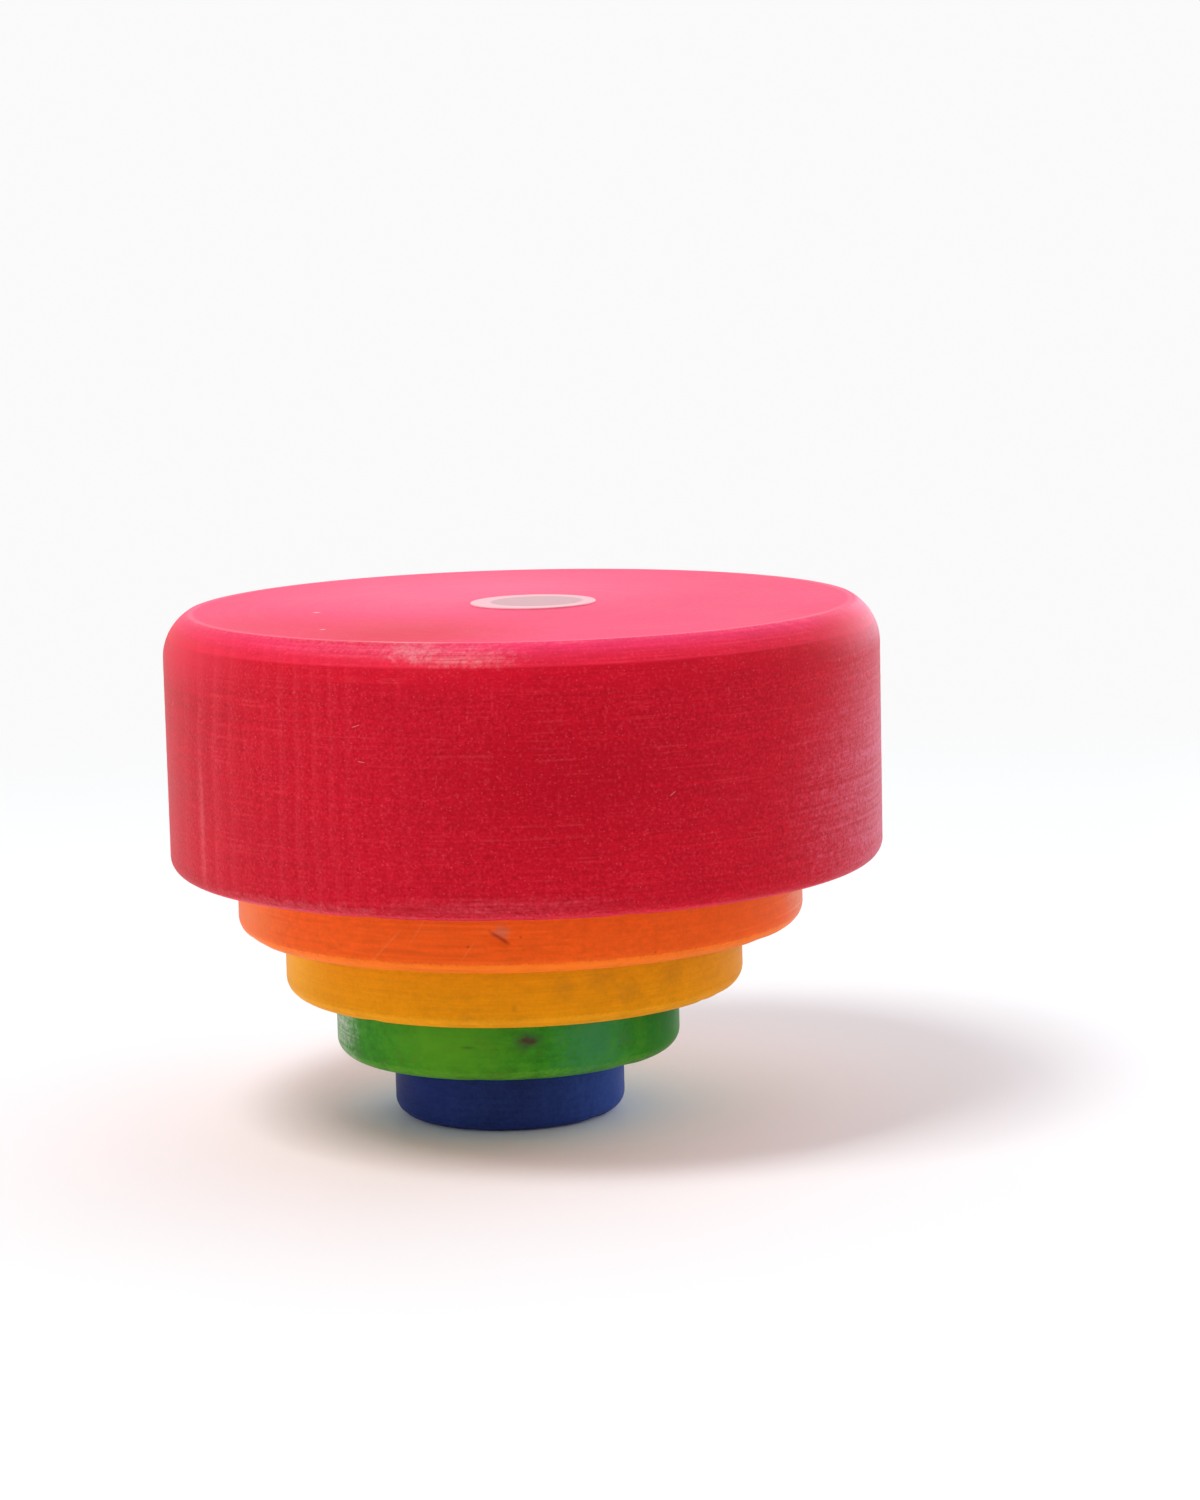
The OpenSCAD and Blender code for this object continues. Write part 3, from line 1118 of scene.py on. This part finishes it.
def label_paper(label, centre, radius):
    """Thin fibrous paper: a pale border round a plain grey field, printed a little off its middle."""
    soft = 0.4
    relief = 0.02 * MM
    gloss = 0.25
    material, tree = new_material("label_paper")
    place = millimetres(tree)
    middle = ((centre[0] + label.field_shift) / MM, centre[1] / MM, 0)
    x, y, _ = parts_of(tree, vectors(tree, "SUBTRACT", place, middle))
    distance = length_of(tree, joined(tree, x, y, 0.0))
    fibres = noise(tree, place, 1.8, detail=4.0, roughness=0.7)
    field_r = (radius - label.border) / MM
    border = spread(tree, distance, field_r - soft, field_r + soft, smooth=True)
    colour = blended(tree, border, opaque(label.field_colour), opaque(label.border_colour))
    shade = spread(tree, fibres, 0.25, 0.75, to_low=0.92, to_high=1.06)
    rough = spread(tree, fibres, 0.3, 0.7, to_low=0.55, to_high=0.7)
    shader = tree.nodes["Principled BSDF"].inputs
    tree.links.new(scaled(tree, colour, shade), shader["Base Color"])
    tree.links.new(relief_normal(tree, fibres, relief), shader["Normal"])
    tree.links.new(rough, shader["Roughness"])
    shader["Specular IOR Level"].default_value = gloss
    return material


TURNINGS = {
    "blue": Turning(blue_wood, 35, []),
    "green": Turning(green_wood, 80, [Dent(6.1, 5.7, 1.4, 0.8, 0.10)]),
    "yellow": Turning(yellow_wood, 100, []),
    "orange": Turning(orange_wood, 75, [Dent(-4.0, 5.1, 1.2, 0.7, 0.30)]),
    "red": Turning(red_wood, -66, [Dent(-15, 33.5, 4.0, 1.6, 0.10)]),
}


# Stage


def seen_directly(tree):
    """1 for a ray from the camera, a mirror or glass, which should see the plain backdrop."""
    path = tree.nodes.new("ShaderNodeLightPath").outputs
    seen = sums(tree, "MAXIMUM", path["Is Camera Ray"], path["Is Glossy Ray"])
    return sums(tree, "MAXIMUM", seen, path["Is Transmission Ray"])


def lay_floor(stage):
    """A flat square floor at table height, which fades into the backdrop with distance."""
    roughness = 0.3
    half = stage.floor_width / 2
    low = CAD_BOX[0].z - FLOOR_GAP
    corners = np.array([[-half, -half, low], [half, -half, low], [half, half, low], [-half, half, low]])
    mesh = bpy.data.meshes.new("studio_floor")
    mesh.from_pydata(corners, [], [[0, 1, 2, 3]])
    floor = bpy.data.objects.new("studio_floor", mesh)
    bpy.context.scene.collection.objects.link(floor)
    material, tree = new_material("pale_floor")
    tree.nodes.remove(tree.nodes["Principled BSDF"])
    matt = put(tree, "ShaderNodeBsdfDiffuse", {"Color": opaque(stage.floor_colour)}).outputs[0]
    shiny = put(tree, "ShaderNodeBsdfGlossy", {"Color": opaque(WHITE), "Roughness": roughness}).outputs[0]
    sheet = put(tree, "ShaderNodeMixShader", {0: stage.floor_gloss, 1: matt, 2: shiny}).outputs[0]
    distance = length_of(tree, coordinates(tree, "Object"))
    far = spread(tree, distance, stage.fade_start, stage.fade_end, smooth=True)
    share = sums(tree, "MULTIPLY", far, seen_directly(tree))
    glow = put(tree, "ShaderNodeEmission", {"Color": opaque([stage.backdrop] * 3)}).outputs[0]
    mixed = put(tree, "ShaderNodeMixShader", {0: share, 1: sheet, 2: glow}).outputs[0]
    tree.links.new(mixed, tree.nodes["Material Output"].inputs["Surface"])
    mesh.materials.append(material)


def light_world(stage):
    """Soft light that grows to the right, to the back, upwards and to the left close to the horizon.

    Where the surroundings are seen directly, a plain backdrop takes their place.
    """
    horizon_power = 3.0
    world = bpy.data.worlds.new("studio_light")
    world.use_nodes = True
    bpy.context.scene.world = world
    tree = world.node_tree
    tree.nodes.clear()
    across, depth, rise = parts_of(tree, coordinates(tree, "Generated"))
    low = sums(tree, "POWER", spread(tree, rise, 0.0, 1.0, 1.0, 0.0), horizon_power)
    low_left = sums(tree, "MULTIPLY", spread(tree, across, 0.0, -1.0), low)
    strength = sums(tree, "MULTIPLY", low_left, stage.left_light)
    for towards, gain in ((across, stage.right_light), (depth, stage.back_light), (rise, stage.top_light)):
        strength = sums(tree, "MULTIPLY_ADD", spread(tree, towards, 0.0, 1.0), gain, strength)
    around = put(tree, "ShaderNodeBackground", {"Strength": strength}).outputs[0]
    backdrop = put(tree, "ShaderNodeBackground", {"Color": opaque([stage.backdrop] * 3)}).outputs[0]
    mixed = put(tree, "ShaderNodeMixShader", {0: seen_directly(tree), 1: around, 2: backdrop}).outputs[0]
    put(tree, "ShaderNodeOutputWorld", {"Surface": mixed})


def hang_lamp(name, place, width, power, colour):
    """One square soft lamp, aimed at the middle of the bowls."""
    data = bpy.data.lights.new(name, "AREA")
    data.energy = power
    data.size = width
    data.color = colour
    lamp = bpy.data.objects.new(name, data)
    middle = (CAD_BOX[0] + CAD_BOX[1]) / 2
    place = Vector(place)
    turn = (middle - place).to_track_quat("-Z", "Y")
    lamp.matrix_world = Matrix.Translation(place) @ turn.to_matrix().to_4x4()
    bpy.context.scene.collection.objects.link(lamp)


def stand_camera(stage):
    """The camera at the photograph's angle: yaw and pitch aim it, and roll turns it about its aim."""
    yaw = stage.camera_yaw
    pitch = stage.camera_pitch
    roll = stage.camera_roll
    ahead = Vector((math.sin(yaw) * math.cos(pitch), math.cos(yaw) * math.cos(pitch), -math.sin(pitch)))
    level = Vector((math.cos(yaw), -math.sin(yaw), 0))
    below = ahead.cross(level)
    right = level * math.cos(roll) + below * math.sin(roll)
    down = below * math.cos(roll) - level * math.sin(roll)
    turn = Matrix((right, -down, -ahead)).transposed()
    data = bpy.data.cameras.new("camera")
    data.lens = stage.camera_lens
    camera = bpy.data.objects.new("camera", data)
    camera.matrix_world = Matrix.Translation(stage.camera_place) @ turn.to_4x4()
    bpy.context.scene.collection.objects.link(camera)
    bpy.context.scene.camera = camera


# Operators and the panel


class BOWLS_OT_set_stage(bpy.types.Operator):
    """Sets the floor, the surrounding light, the two lamps and the camera"""

    bl_idname = "bowls.set_stage"
    bl_label = "Set stage"

    def execute(self, context):
        stage = context.scene.bowls.stage
        lay_floor(stage)
        light_world(stage)
        hang_lamp("soft_lamp", stage.lamp_place, stage.lamp_width, stage.lamp_power, WHITE)
        hang_lamp(
            "window_light", stage.window_place, stage.window_width, stage.window_power, stage.window_colour
        )
        stand_camera(stage)
        context.scene.view_settings.view_transform = "Standard"
        return {"FINISHED"}


class BOWLS_OT_turn_bowls(bpy.types.Operator):
    """Turns the five bowls and stains them"""

    bl_idname = "bowls.turn_bowls"
    bl_label = "Turn bowls"

    def execute(self, context):
        settings = context.scene.bowls
        shared_groups()
        for seed, (name, turning) in enumerate(TURNINGS.items()):
            node = f"{name}_bowl"
            piece_name = f"turned_{name}_bowl"
            bowl = measure_bowl(node)
            heading = math.radians(turning.heading)
            dents = turning.dents + knocks(bowl, settings.turning, seed)
            mesh, section = bowl_mesh(piece_name, bowl, settings.turning, heading, dents)
            material = turning.finish(bowl, section, settings.stains, heading)
            new_piece(piece_name, mesh, name, node, material)
        return {"FINISHED"}


class BOWLS_OT_stick_label(bpy.types.Operator):
    """Sticks the plain round paper label on the largest bowl's base"""

    bl_idname = "bowls.stick_label"
    bl_label = "Stick label"

    def execute(self, context):
        low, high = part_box("round_label")
        centre = ((low.x + high.x) / 2, (low.y + high.y) / 2)
        radius = (high.x - low.x) / 2
        mesh = label_mesh("paper_label", centre, radius, low.z, high.z)
        material = label_paper(context.scene.bowls.label, centre, radius)
        new_piece("paper_label", mesh, "red", "round_label", material)
        return {"FINISHED"}


class BOWLS_PT_sidebar(bpy.types.Panel):
    """Lists what makes the bowls, with their settings"""

    bl_idname = "BOWLS_PT_sidebar"
    bl_label = "Stacking bowls"
    bl_space_type = "VIEW_3D"
    bl_region_type = "UI"
    bl_category = "Bowls"

    def draw(self, context):
        settings = context.scene.bowls
        for operator in OPERATORS:
            self.layout.operator(operator.bl_idname)
        for group in (settings.turning, settings.stains, settings.label, settings.stage):
            box = self.layout.box()
            for name in group.__annotations__:
                box.prop(group, name)


OPERATORS = (BOWLS_OT_set_stage, BOWLS_OT_turn_bowls, BOWLS_OT_stick_label)
CLASSES = (
    TurningSizes,
    StainColours,
    LabelFinish,
    StageSettings,
    BowlSettings,
    *OPERATORS,
    BOWLS_PT_sidebar,
)


def register():
    """Adds the classes and the scene's settings."""
    for one_class in CLASSES:
        bpy.utils.register_class(one_class)
    bpy.types.Scene.bowls = PointerProperty(type=BowlSettings)


def unregister():
    """Takes the scene's settings and the classes away."""
    del bpy.types.Scene.bowls
    for one_class in reversed(CLASSES):
        bpy.utils.unregister_class(one_class)


def main():
    """Makes the stage, the bowls and the label."""
    register()
    bpy.ops.bowls.set_stage()
    bpy.ops.bowls.turn_bowls()
    bpy.ops.bowls.stick_label()


if __name__ == "__main__":
    main()
